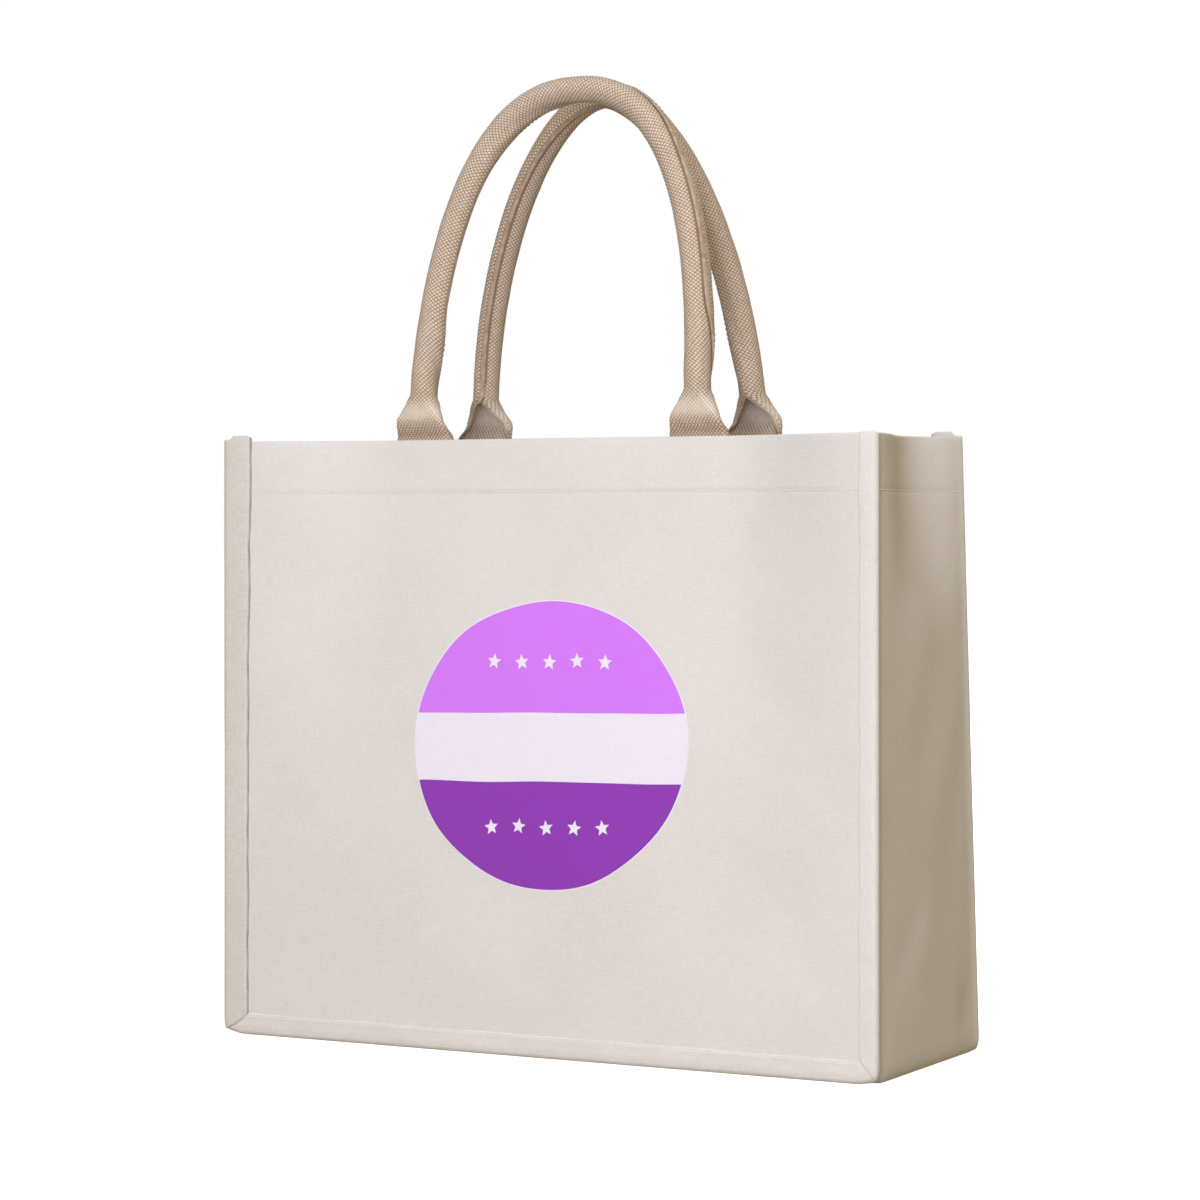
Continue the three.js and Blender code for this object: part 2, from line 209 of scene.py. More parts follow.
def soften(points):
    """Curls the bottom corners up a little, the front ones more."""
    x, y, z = points[..., 0], points[..., 1], points[..., 2]
    near_x = 1 - smooth(SIDE - np.abs(x), 0, CORNER_REACH)
    near_y = 1 - smooth(DEPTH / 2 - np.abs(y), 0, CORNER_REACH)
    moved = points.copy()
    lift = CORNER_LIFT * np.where(y < 0, 1, 0.25)
    moved[..., 2] += lift * near_x * near_y * (1 - smooth(z, 0, 2 * CORNER_REACH))
    return moved


def inset(wall, x, z):
    """How far a wall stands in from the upright plane through its bottom edge."""
    rise = np.maximum(z, 0) / HEIGHT
    middle = 1 - smooth(np.abs(x), FLAT_HALF, WIDTH / 2 - STIFF_EDGE)
    return wall["lean"] * rise + wall["bow"] * middle * rise**BEND_POWER


def turned(wall, points):
    """The back wall is built as the front one is, and turned to face +Y."""
    return points * np.array([wall["turn"], wall["turn"], 1.0])


def wall_swell(wall, x, z):
    """The cloth of a wall isn't quite flat, except where the bindings hold it."""
    seed = 1 if wall["turn"] > 0 else 2
    loose = (1 - smooth(np.abs(x), 165 * MM, 195 * MM)) * smooth(z, 12 * MM, 45 * MM)
    broad = 0.55 * MM * ripple(x, z, 150 * MM, seed)
    close = 0.16 * MM * ripple(x, z, 47 * MM, seed + 3)
    between = 1 - smooth(np.abs(x), 185 * MM, 193 * MM)  # the bindings
    step = 0.2 * MM * smooth(z, HEIGHT - HEM - 1 * MM, HEIGHT - HEM + 2 * MM)
    groove = -0.22 * MM * bell(z, HEIGHT - HEM, PUCKER)
    return (broad + close) * loose + (step + groove) * between


def on_wall(wall, x, z, out):
    """A point on a wall, `out` from its cloth, or inward where that is negative."""
    x, z, out = np.broadcast_arrays(x, z, out)
    sharp = np.stack([x, np.full(x.shape, -DEPTH / 2), z], -1)
    points = soften(rounded(sharp, out + wall_swell(wall, x, z)))
    points[..., 1] += inset(wall, points[..., 0], points[..., 2])
    return turned(wall, points)


def pinch(along, z):
    """How far a gusset folds in toward the middle of the bag."""
    fold = smooth(along, PINCH_EDGE, PINCH_AT) * (1 - smooth(along, PINCH_AT, 1))
    return PINCH * fold * smooth(z, PINCH_FROM, HEIGHT)


def gusset_swell(along, z):
    """A soft three-cornered crease stands on the gusset's foot, and its edges swell over the seams.
    `along` is the share of the way from the front seam to the back one."""
    middle = 1 - np.abs(2 * along - 1)
    crease = 34 * MM + 62 * MM * middle  # the height of its edge
    foot = 0.9 * MM * smooth(crease - z, -6 * MM, 26 * MM) * smooth(middle, 0, 0.35)
    foot = foot * smooth(z, 0, 10 * MM)
    dent = -1.1 * MM * bell(along, 0.86, 0.07) * bell(z, 24 * MM, 15 * MM)
    broad = 0.5 * MM * ripple(along * DEPTH, z, 95 * MM, 5)
    broad = broad * smooth(middle, 0, 0.4) * smooth(z, 8 * MM, 40 * MM)
    seam = 1.1 * MM * (1 - smooth(middle, 0, 0.12))
    seam = seam * (0.3 + 0.7 * smooth(z, 0, 8 * MM))
    groove = -0.35 * MM * bell(z, HEIGHT - HEM, PUCKER) * smooth(middle, 0.1, 0.2)
    return foot + dent + broad + seam + groove


def on_gusset(facing, y, z, out):
    """A point on a gusset. `y` is where it would be on an upright box."""
    y, z, out = np.broadcast_arrays(y, z, out)
    along = (y + DEPTH / 2) / DEPTH
    sharp = np.stack([np.full(y.shape, facing * SIDE), y, z], -1)
    points = soften(rounded(sharp, out + gusset_swell(along, z)))
    share = (points[..., 1] + DEPTH / 2) / DEPTH
    points[..., 1] -= share * BACK["lean"] * np.maximum(points[..., 2], 0) / HEIGHT
    points[..., 0] -= facing * pinch(share, points[..., 2])
    return points


def on_base(x, y, out):
    x, y, out = np.broadcast_arrays(x, y, out)
    sharp = np.stack([x, y, np.zeros(x.shape)], -1)
    return soften(rounded(sharp, out))


# ---- meshes ----


def stations(*marks):
    """Places along a line, from pairs of (place, step up to the next place)."""
    places = []
    for (start, step), (end, _) in zip(marks, marks[1:]):
        count = max(1, round(abs(end - start) / step))
        places.extend(np.linspace(start, end, count, endpoint=False))
    return np.array([*places, marks[-1][0]])


def curled_stations(half, step):
    """Places from -half to half across a cloth that curls round a sewn edge at each end."""
    near = half - CURL_REACH
    return stations((-half, CURL_STEP), (-near, step), (near, CURL_STEP), (half, CURL_STEP))


def new_piece(name, vertices, faces, material):
    mesh = bpy.data.meshes.new(name)
    mesh.from_pydata(np.asarray(vertices).reshape(-1, 3).tolist(), [], faces)
    shape = bmesh.new()
    shape.from_mesh(mesh)
    bmesh.ops.recalc_face_normals(shape, faces=shape.faces)
    shape.to_mesh(mesh)
    shape.free()
    mesh.shade_smooth()
    mesh.materials.append(material)
    piece = bpy.data.objects.new(name, mesh)
    bpy.context.scene.collection.objects.link(piece)
    return piece


def store(piece, name, values):
    """Keeps a vector for each vertex, which the piece's material reads."""
    kept = piece.data.attributes.new(name, "FLOAT_VECTOR", "POINT")
    kept.data.foreach_set("vector", np.asarray(values, np.float32).ravel())


def finish_piece(piece, body, slot, *nodes):
    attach(piece, body)
    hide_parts(*nodes)


def quads(rows, columns):
    i, j = np.meshgrid(np.arange(rows - 1), np.arange(columns - 1), indexing="ij")
    first = (i * columns + j).ravel()
    return np.stack([first, first + 1, first + columns + 1, first + columns], -1)


RIM_ANGLES = (math.pi / 4, math.pi / 2, 3 * math.pi / 4)


def woven_faces(rows, columns):
    """Triangles over a grid whose every other point is high, so that each high point stands alone."""
    a, b, c, d = quads(rows, columns).T
    i, j = np.divmod(a, columns)
    low = (i + j) % 2 == 0
    one = np.where(low, [a, b, c], [a, b, d])
    two = np.where(low, [a, c, d], [b, c, d])
    return np.concatenate([one, two], -1).T


def cloth(name, outer, inner, weave, material, grid_faces=quads):
    """A closed sheet between two grids of points, with a rounded rim. `weave` is a vector for each point
    of one
    grid: the place along and across the threads, and a value that the material turns into colour, which
    holds
    painted light and shade: on canvas 1, or less where a seam's painted shade lies, and on webbing the
    yarn's height with painted light and shadow added."""
    rows, columns = outer.shape[:2]
    loop = [(0, j) for j in range(columns)]
    loop += [(i, columns - 1) for i in range(1, rows)]
    loop += [(rows - 1, j) for j in range(columns - 2, -1, -1)]
    loop += [(i, 0) for i in range(rows - 2, 0, -1)]
    i, j = np.array(loop).T
    inward = (np.clip(i, 1, rows - 2), np.clip(j, 1, columns - 2))
    middle = (outer[i, j] + inner[i, j]) / 2
    half = np.linalg.norm(outer[i, j] - inner[i, j], axis=-1, keepdims=True) / 2
    along = outer[i, j] - outer[inward] + inner[i, j] - inner[inward]
    along /= np.maximum(np.linalg.norm(along, axis=-1, keepdims=True), 1e-9)
    rim = [middle + math.cos(a) * (outer[i, j] - middle) + math.sin(a) * half * along for a in RIM_ANGLES]
    count = rows * columns
    vertices = np.concatenate([outer.reshape(-1, 3), inner.reshape(-1, 3), *rim])
    around = [i * columns + j]
    around += [2 * count + k * len(loop) + np.arange(len(loop)) for k in range(len(RIM_ANGLES))]
    around += [count + i * columns + j]
    face = grid_faces(rows, columns)
    faces = face.tolist() + (face[:, ::-1] + count).tolist()
    for a, b in zip(around, around[1:]):
        faces += np.stack([a, np.roll(a, -1), np.roll(b, -1), b], -1).tolist()
    piece = new_piece(name, vertices, faces, material)
    flat = weave.reshape(-1, 3)
    store(piece, "weave", np.concatenate([flat, flat, *[weave[i, j]] * len(RIM_ANGLES)]))
    return piece


# The third value carries painted light and shade; 1 leaves canvas without painted shade.
def weave_of(along, across, height=1.0):
    return np.stack(np.broadcast_arrays(along, across, height), -1)


def tube_faces(rings, sides):
    """Faces along a tube, with a cap at each end."""
    faces = []
    for first in range(0, (rings - 1) * sides, sides):
        for k in range(sides):
            after = (k + 1) % sides
            faces.append([first + k, first + after, first + after + sides, first + k + sides])
    last = (rings - 1) * sides
    return [*faces, list(range(sides))[::-1], list(range(last, last + sides))]


# The rings of a stitch: the share of the way along it, the thickness, and the height of its middle, the
# last two in thread radii.
STITCH_RINGS = [(0, 0.45, -0.5), (0.14, 0.9, 0.2), (0.5, 1.05, 0.45), (0.86, 0.9, 0.2), (1, 0.45, -0.5)]
STITCH_SIDES = 6


def stitches(name, starts, ends, normals, material):
    """Separate stitches, each a short thread that rises out of the cloth and dips back in."""
    along = ends - starts
    across = np.cross(along, normals)
    across /= np.linalg.norm(across, axis=-1, keepdims=True)
    share, thick, high = np.array(STITCH_RINGS).T
    middle = starts[:, None] + share[:, None] * along[:, None]
    middle = middle + THREAD_RADIUS * high[:, None] * normals[:, None]
    turn = np.arange(STITCH_SIDES) * 2 * math.pi / STITCH_SIDES
    ring = np.cos(turn)[:, None] * across[:, None, None] + np.sin(turn)[:, None] * normals[:, None, None]
    points = middle[:, :, None] + THREAD_RADIUS * thick[:, None, None] * ring
    one_stitch = tube_faces(len(share), STITCH_SIDES)
    faces = []
    for first in range(0, len(starts) * len(share) * STITCH_SIDES, len(share) * STITCH_SIDES):
        faces += [[v + first for v in face] for face in one_stitch]
    return new_piece(name, points, faces, material)


def stitch_line(place, start, end):
    """Starts, ends and normals of stitches along a line. `place(t, out)` gives the points at distances
    t along it, `out` from the surface."""
    count = int((end - start) / STITCH_PITCH)
    first = start + (np.arange(count) + 0.5) * (end - start) / count - STITCH_LENGTH / 2
    starts = place(first, 0)
    ends = place(first + STITCH_LENGTH, 0)
    normals = place(first, 1 * MM) - starts
    return starts, ends, normals / np.linalg.norm(normals, axis=-1, keepdims=True)


# ---- materials ----


def linear(*levels):
    """A colour given as it looks on screen, from 0 to 255, as a shader wants it."""
    shares = [v / 255 for v in levels]
    return (*[s / 12.92 if s <= 0.04045 else ((s + 0.055) / 1.055) ** 2.4 for s in shares], 1.0)


class Graph:
    """A material's nodes, added one by one."""

    def __init__(self, name, roughness, sheen=0.0):
        self.material = bpy.data.materials.new(name)
        self.material.use_nodes = True
        self.tree = self.material.node_tree
        self.shader = self.tree.nodes["Principled BSDF"]
        self.shader.inputs["Roughness"].default_value = roughness
        self.shader.inputs["Sheen Weight"].default_value = sheen
        self.shader.inputs["Specular IOR Level"].default_value = 0.2

    def add(self, kind, values=None, **settings):
        made = self.tree.nodes.new(kind)
        for key, value in settings.items():
            setattr(made, key, value)
        for key, value in (values or {}).items():
            self.feed(made.inputs[key], value)
        return made

    def feed(self, socket, value):
        if isinstance(value, bpy.types.NodeSocket):
            self.tree.links.new(value, socket)
        else:
            socket.default_value = value

    def maths(self, operation, first, second=0.0, third=0.0):
        made = self.add("ShaderNodeMath", {0: first, 1: second, 2: third}, operation=operation)
        return made.outputs[0]

    def mix(self, share, first, second):
        made = self.add("ShaderNodeMix", data_type="RGBA")
        self.feed(made.inputs["Factor"], share)
        self.feed(made.inputs[6], first)
        self.feed(made.inputs[7], second)
        return made.outputs[2]

    def noise(self, vector, scale, detail=2.0):
        values = {"Vector": vector, "Scale": scale, "Detail": detail, "Roughness": 0.6}
        return self.add("ShaderNodeTexNoise", values).outputs["Fac"]

    def stretched(self, vector, along, across):
        values = {0: vector, 1: (along, across, 1.0)}
        return self.add("ShaderNodeVectorMath", values, operation="MULTIPLY").outputs[0]

    def range(self, value, low, high, to_low=0.0, to_high=1.0):
        values = {"Value": value, "From Min": low, "From Max": high, "To Min": to_low, "To Max": to_high}
        return self.add("ShaderNodeMapRange", values, interpolation_type="SMOOTHSTEP").outputs[0]

    def finish(self, colour, height, strength, distance):
        values = {"Height": height, "Strength": strength, "Distance": distance}
        bump = self.add("ShaderNodeBump", values)
        self.feed(self.shader.inputs["Base Color"], colour)
        self.feed(self.shader.inputs["Normal"], bump.outputs[0])
        return self.material


THREAD_PITCH = 0.62 * MM
PAINTED_SEAM_SHADE = (128, 118, 106)  # painted shade in the open edge of a seam


def woven(graph):
    """The canvas's plain weave: its place, the height of the threads, how slubby they are, from 0 to 1,
    and its share of painted light, from 0 in a seam's painted shade to 1."""
    weave = graph.add("ShaderNodeAttribute", attribute_name="weave").outputs["Vector"]
    wander = graph.noise(weave, 90.0)
    split = graph.add("ShaderNodeSeparateXYZ", {0: weave})
    turns = 2 * math.pi / THREAD_PITCH
    waves = []
    for axis in "XY":
        shift = graph.maths("MULTIPLY", wander, 9.0)
        waves.append(graph.maths("SINE", graph.maths("MULTIPLY_ADD", split.outputs[axis], turns, shift)))
    plain = graph.maths("MULTIPLY", *waves)
    weft = graph.noise(graph.stretched(weave, 130.0, 1700.0), 1.0)
    warp = graph.noise(graph.stretched(weave, 1700.0, 110.0), 1.0)
    slub = graph.maths("MULTIPLY_ADD", warp, 0.8, weft)
    height = graph.maths("MULTIPLY_ADD", plain, 0.22, slub)
    return weave, height, graph.range(slub, 0.62, 1.2), split.outputs["Z"]


def canvas_material(name, pale, deep, relief=1.0):
    graph = Graph(name, 0.92, sheen=0.12)
    weave, height, slub, painted_light_share = woven(graph)
    thread_colour = graph.mix(slub, deep, pale)
    cloudy = graph.range(graph.noise(weave, 14.0), 0.3, 0.7)
    shade = graph.add("ShaderNodeMix", data_type="RGBA", blend_type="MULTIPLY")
    graph.feed(shade.inputs["Factor"], graph.maths("MULTIPLY", cloudy, 0.35))
    graph.feed(shade.inputs[6], thread_colour)
    graph.feed(shade.inputs[7], linear(247, 243, 238))
    # Painted shade: where the weave's third value falls below 1, the colour goes over to the seam's
    # painted shade.
    colour = graph.mix(painted_light_share, linear(*PAINTED_SEAM_SHADE), shade.outputs[2])
    return graph.finish(colour, height, 0.4 * relief, 0.25 * MM)


def ink_material(name, colour, worn):
    """Ink in the weave: the cloth's own threads show through it."""
    graph = Graph(name, 0.75)
    _, height, slub, _ = woven(graph)
    return graph.finish(graph.mix(slub, worn, colour), height, 0.3, 0.2 * MM)


def webbing_material():
    """Heavy woven tape: pale crowns of yarn on a darker ground, which the mesh's own relief follows."""
    graph = Graph("woven_webbing", 0.88, sheen=0.15)
    weave = graph.add("ShaderNodeAttribute", attribute_name="weave").outputs["Vector"]
    # Z holds the yarn's height, with painted light on the tabs and a painted shadow line beside the lap.
    crown = graph.add("ShaderNodeSeparateXYZ", {0: weave}).outputs["Z"]
    yarn = graph.noise(graph.stretched(weave, 260.0, 700.0), 1.0, 3.0)
    uneven = graph.range(graph.noise(weave, 55.0), 0.3, 0.7)
    share = graph.maths("MULTIPLY_ADD", yarn, 0.5, graph.maths("MULTIPLY_ADD", crown, 0.9, -0.2))
    base = graph.mix(graph.range(share, 0.02, 0.74), linear(146, 117, 90), linear(240, 226, 211))
    colour = graph.mix(graph.maths("MULTIPLY", uneven, 0.4), base, linear(208, 187, 165))
    fibres = graph.noise(graph.stretched(weave, 900.0, 2600.0), 1.0)
    return graph.finish(colour, fibres, 0.4, 0.25 * MM)


def fibre_material(name, pale, deep, roughness):
    graph = Graph(name, roughness, sheen=0.1)
    place = graph.add("ShaderNodeTexCoord").outputs["Object"]
    fibres = graph.noise(place, 2400.0, 3.0)
    return graph.finish(graph.mix(graph.range(fibres, 0.3, 0.7), deep, pale), fibres, 0.4, 0.1 * MM)


CANVAS = canvas_material("natural_canvas", linear(234, 230, 228), linear(226, 221, 217))
BINDING = canvas_material("binding_canvas", linear(231, 226, 222), linear(219, 212, 206), 1.15)
# A lighter copy of the canvas, as painted light, for the narrow and base bindings where they catch more
# light.
PAINTED_LIGHT_TRIM = canvas_material("painted_light_trim_canvas", linear(238, 234, 231), linear(229, 224, 220))
WEBBING_CLOTH = webbing_material()
THREAD = fibre_material("cotton_thread", linear(236, 231, 227), linear(224, 218, 213), 0.8)
TAN_THREAD = fibre_material("tan_thread", linear(200, 178, 153), linear(164, 140, 114), 0.8)
ROPE = fibre_material("cotton_rope", linear(226, 214, 194), linear(186, 170, 146), 0.95)
INKS = {
    "pale": ink_material("ink_pale", linear(246, 239, 253), linear(240, 233, 246)),
    "lilac": ink_material("ink_lilac", linear(219, 126, 255), linear(216, 129, 250)),
    "purple": ink_material("ink_purple", linear(146, 60, 183), linear(148, 66, 184)),
}


# ---- walls, gussets and base ----


def hem_path(low, step):
    """The cloth's path up a wall, over the top and down inside: for each station its height, the outward
    offset of its outer face, the outward offset of its inner face, and the distance along the cloth."""
    top = HEIGHT - HEM_CENTRE
    line = HEIGHT - HEM
    near = 5 * MM  # the points are closer this near to the hem line
    up = stations((low, step), (line - near, 0.7 * MM), (line + near, step), (top, step))
    angles = np.linspace(0, math.pi, 9)[1:-1]
    down = stations((top, step), (line, step))
    heights = [(z, z, 0, -CLOTH) for z in up]
    outer, inner = HEM_CENTRE, HEM_CENTRE - CLOTH
    for a in angles:
        over = (top + outer * math.sin(a), top + inner * math.sin(a))
        heights.append((*over, outer * (math.cos(a) - 1), inner * math.cos(a) - outer))
    heights += [(z, z, -HEM_STACK, -HEM_STACK + CLOTH) for z in down]
    z_outer, z_inner, out_outer, out_inner = np.array(heights).T
    steps_along = np.hypot(np.diff(z_outer), np.diff(out_outer))
    return z_outer, z_inner, out_outer, out_inner, np.concatenate([[0], np.cumsum(steps_along)])


def wall_cloth(wall):
    """A wall ends just short of its rounded edges, which the gussets and the base curl round."""
    half = SIDE - CORNER - 0.2 * MM
    x = stations((-half, CLOTH_STEP), (half, CLOTH_STEP))[None, :]
    z_outer, z_inner, out_outer, out_inner, along = [v[:, None] for v in hem_path(2 * MM, CLOTH_STEP)]
    outer, inner = on_wall(wall, x, z_outer, out_outer), on_wall(wall, x, z_inner, out_inner)
    name = wall["name"]
    piece = cloth(f"{name}_wall_cloth", outer, inner, weave_of(x, along), CANVAS)
    finish_piece(piece, "bag", "canvas", f"{name}_panel")


def gusset_cloth(name, facing):
    """The gusset's edges curl round to the middle of the bag's sewn corners."""
    z_outer, z_inner, out_outer, out_inner, along = [v[:, None] for v in hem_path(0, CLOTH_STEP)]
    y = curled_stations(DEPTH / 2, CLOTH_STEP)[None, :]
    turned_in = smooth(-out_outer, CLOTH, HEM_STACK)
    margin = 1 - turned_in * (HEM_STACK + CLOTH) / (DEPTH / 2)
    outer = on_gusset(facing, y * margin, z_outer, out_outer)
    inner = on_gusset(facing, y * margin, z_inner, out_inner)
    piece = cloth(f"{name}_gusset_cloth", outer, inner, weave_of(y, along), CANVAS)
    finish_piece(piece, "bag", "canvas", f"{name}_gusset")


def base_cloth():
    """The base stands on its edges, and is lifted a little in its middle."""
    x = curled_stations(SIDE, BASE_STEP)[:, None]
    y = curled_stations(DEPTH / 2, BASE_STEP)[None, :]
    free = smooth(SIDE - np.abs(x), 0, 40 * MM) * smooth(DEPTH / 2 - np.abs(y), 0, 30 * MM)
    lift = free * 0.5 * MM * (1 + ripple(x, y, 120 * MM, 7))
    outer, inner = on_base(x, y, -lift), on_base(x, y, -lift - CLOTH)
    piece = cloth("base_cloth", outer, inner, weave_of(x, y), CANVAS)
    finish_piece(piece, "bag", "canvas", "base_panel")


# ---- bindings ----


def side_name(wall, hand):
    return "left" if hand * wall["turn"] < 0 else "right"


def crown(inward, width, pad):
    """How far a binding stands out of the wall, at a distance in from the bag's corner."""
    edge = np.clip((width - inward) / BINDING_ROUND, 0, 1)
    return BINDING_EDGE + (pad - BINDING_EDGE) * np.sqrt(1 - (1 - edge) ** 2)


def binding_top(inward, wide):
    """The height of a binding's top end, at a distance in from the bag's corner."""
    raised = smooth(inward, 3.8 * MM, 6.8 * MM) * (1 - 0.4 * smooth(inward, 14.5 * MM, WIDE_BINDING))
    return HEIGHT + BINDING_GAP + BINDING_PROUD * raised * wide


def flare(z, wide):
    """How much wider a wide binding is, at a height."""
    return FLARE * smooth(z, FLARE_FROM, HEIGHT) * wide


def upright_binding(wall, hand, width):
    """A folded strip down one side of a wall. Its outer edge curls to the middle of the bag's corner."""
    wide = width == WIDE_BINDING
    # The second value is how strongly the painted seam shade darkens the binding's inner edge.
    pad, seam_shade_strength, material = (WIDE_PAD, 0.8, BINDING) if wide else (NARROW_PAD, 0.1, PAINTED_LIGHT_TRIM)
    share = stations((0, 0.05), (0.3, 0.08), (0.86, 0.015), (1, 1))[None, :]
    rise = stations((0, 0.01), (1, 1))[:, None]
    nominal = share * width
    low = BASE_BINDING * share + BINDING_GAP
    z = low + (binding_top(nominal, wide) - low) * rise
    wobble = waver(z, 60 * MM, 3 + hand) + 0.5 * waver(z, 17 * MM, 6 + hand)
    wobble = 0.45 * MM * wobble * smooth(z, 15 * MM, 40 * MM)
    inward = nominal + (wobble + flare(z, wide)) * share**3
    uneven = 0.12 * MM * ripple(inward, z, 31 * MM, 8) * smooth(share, 0.1, 0.4)
    flattened = 0.55 * MM * (1 - smooth(z, 0, 6 * MM))
    out = crown(nominal, width, pad) + uneven - flattened
    x = hand * (SIDE - inward)
    outer, inner = on_wall(wall, x, z, out), on_wall(wall, x, z, BINDING_SEAT)
    name = f"{wall['name']}_{side_name(wall, hand)}_binding"
    # Painted shade: the binding's inner edge and rim are darkened towards the seam's painted shade,
    # strongly on a wide binding and faintly on a narrow one.
    seam = seam_shade_strength * (0.75 + 0.25 * waver(z, 23 * MM, 4))
    lit = 1 - seam * smooth(share, 1 - 0.75 * MM / width, 1 - 0.35 * MM / width)
    elsewhere = inward + 0.4 * hand  # so that no two strips have the same patch of weave
    piece = cloth(f"{name}_cloth", outer, inner, weave_of(z, elsewhere, lit), material)
    finish_piece(piece, "bag", "binding", name)

    def place(t, lift):
        at = width - STITCH_INSET + flare(t, wide)
        return on_wall(wall, hand * (SIDE - at), t, lift + pad - STITCH_DEPTH)

    line = stitch_line(place, BASE_BINDING + STITCH_INSET, HEIGHT - STITCH_INSET)
    thread = stitches(f"{name}_stitches", *line, THREAD)
    finish_piece(thread, "bag", "thread", f"{name}_stitching")


def base_binding(wall):
    """The strip along a wall's foot, mitred to the upright ones. It curls to the middle of the bag's
    bottom edge."""
    share = stations((0, 0.04), (0.3, 0.08), (0.86, 0.025), (1, 1))[:, None]
    along = stations((0, 0.004), (0.04, 0.008), (0.96, 0.004), (1, 1))[None, :]
    left = -SIDE + WIDE_BINDING * share + BINDING_GAP
    right = SIDE - NARROW_BINDING * share - BINDING_GAP
    x = left + (right - left) * along
    up = BASE_BINDING * share + 0.35 * MM * share**3 * waver(x, 70 * MM, 4)
    uneven = 0.1 * MM * ripple(x, up, 33 * MM, 9) * smooth(share, 0.2, 0.5)
    flattened = 0.6 * MM * (1 - smooth(up, 0, 6 * MM))
    out = crown(BASE_BINDING * share, BASE_BINDING, NARROW_PAD) + uneven - flattened
    outer, inner = on_wall(wall, x, up, out), on_wall(wall, x, up, BINDING_SEAT)
    name = f"{wall['name']}_base_binding"
    # Painted shade: a faint darkening along the strip's inner edge.
    lit = 1 - 0.1 * smooth(share, 0.95, 0.98)
    elsewhere = up + 0.7
    piece = cloth(f"{name}_cloth", outer, inner, weave_of(x, elsewhere, lit), PAINTED_LIGHT_TRIM)
    finish_piece(piece, "bag", "binding", name)

    def place(t, lift):
        return on_wall(wall, t, BASE_BINDING - STITCH_INSET, lift + NARROW_PAD - STITCH_DEPTH)

    line = stitch_line(place, -SIDE + WIDE_BINDING, SIDE - NARROW_BINDING)
    thread = stitches(f"{name}_stitches", *line, THREAD)
    finish_piece(thread, "bag", "thread", f"{name}_stitching")


def hem_stitches(wall):
    def place(t, lift):
        return on_wall(wall, t, HEIGHT - HEM, lift + STITCH_DEPTH)

    line = stitch_line(place, -SIDE + WIDE_BINDING + 1 * MM, SIDE - NARROW_BINDING - 1 * MM)
    thread = stitches(f"{wall['name']}_hem_stitches", *line, THREAD)
    finish_piece(thread, "bag", "thread", f"{wall['name']}_hem_stitching")


def gusset_stitches(name, facing):
    def place(t, lift):
        return on_gusset(facing, t, HEIGHT - HEM, lift + STITCH_DEPTH)

    reach = DEPTH / 2 - 4 * MM
    line = stitch_line(place, -reach, reach)
    thread = stitches(f"{name}_gusset_stitches", *line, THREAD)
    finish_piece(thread, "bag", "thread", f"{name}_gusset_hem_stitching")


# ---- handles ----


def arch_line(power):
    """The middle of a handle in its own plane, from hinge line to hinge line: distances, x and height."""
    start = math.asin((TAB_HEIGHT / HANDLE_RISE) ** (power / 2))
    angle = np.linspace(start, math.pi - start, 4000)  # close enough to measure along
    cosine = np.cos(angle)
    x = -np.sign(cosine) * HANDLE_HALF * np.abs(cosine) ** (2 / power)
    height = HANDLE_RISE * np.sin(angle) ** (2 / power)
    up = np.linspace(0, 1, 30, endpoint=False)
    tab = -HANDLE_HALF + (HANDLE_HALF + x[0]) * up**2
    x = np.concatenate([tab, x, -tab[::-1]])
    height = np.concatenate([TAB_HEIGHT * up, height, TAB_HEIGHT * up[::-1]])
    distance = np.concatenate([[0], np.cumsum(np.hypot(np.diff(x), np.diff(height)))])
    return distance, x, height


for wall in (FRONT, BACK):
    wall["line"] = arch_line(wall["arch"])
    wall["length"] = wall["line"][0][-1]


def handle_pose(wall):
    """Where a handle's hinge line is, and the cosine and sine of its lean over the bag."""
    foot = float(inset(wall, HANDLE_HALF, HINGE_Z)) - DEPTH / 2 + HEM_STACK + HINGE_GAP + WEBBING / 2
    sine = wall["tilt"] / HANDLE_RISE
    return foot, math.sqrt(1 - sine**2), sine


def section(rise):
    """The webbing across its width, at a height above the hem: half of its flat middle, the radius its
    edges bend round, the angle they bend through, and half of its whole width."""
    width = np.interp(rise, *TAB_OUTLINE)
    bend = FOLD_RADIUS + (TUBE - FOLD_RADIUS) * smooth(rise, 8 * MM, 27 * MM)
    flat = np.maximum(width - WEBBING / 2 - bend, 0) * (1 - smooth(rise, 23 * MM, CLOSED_AT))
    sewn, upright, folded = 0.1, 1.7, 2.75  # radians: in the hem, on the tab's foot and at its top
    turn = sewn + (upright - sewn) * smooth(rise, -9 * MM, 6 * MM)
    turn = turn + (folded - upright) * smooth(rise, 3 * MM, 12 * MM)
    turn = turn + (math.pi * TUBE_LAP - folded) * smooth(rise, 16 * MM, CLOSED_AT)
    half = TAB_HALF + (TUBE_HALF - TAB_HALF) * smooth(rise, 12 * MM, CLOSED_AT + 4 * MM)
    return flat, bend, turn, half


def handle_line(wall, s):
    """The middle of a handle in its own plane, at a distance along it: x, height, and the direction to
    the right of the way along."""
    distance, line_x, line_height = wall["line"]
    probe = 0.6 * MM
    ahead = np.clip(s + probe, 0, wall["length"])
    behind = np.clip(s - probe, 0, wall["length"])
    step_x = np.interp(ahead, distance, line_x) - np.interp(behind, distance, line_x)
    step_up = np.interp(ahead, distance, line_height) - np.interp(behind, distance, line_height)
    size = np.hypot(step_x, step_up)
    x = np.interp(s, distance, line_x)
    height = np.interp(s, distance, line_height)
    return x, height, step_up / size, -step_x / size


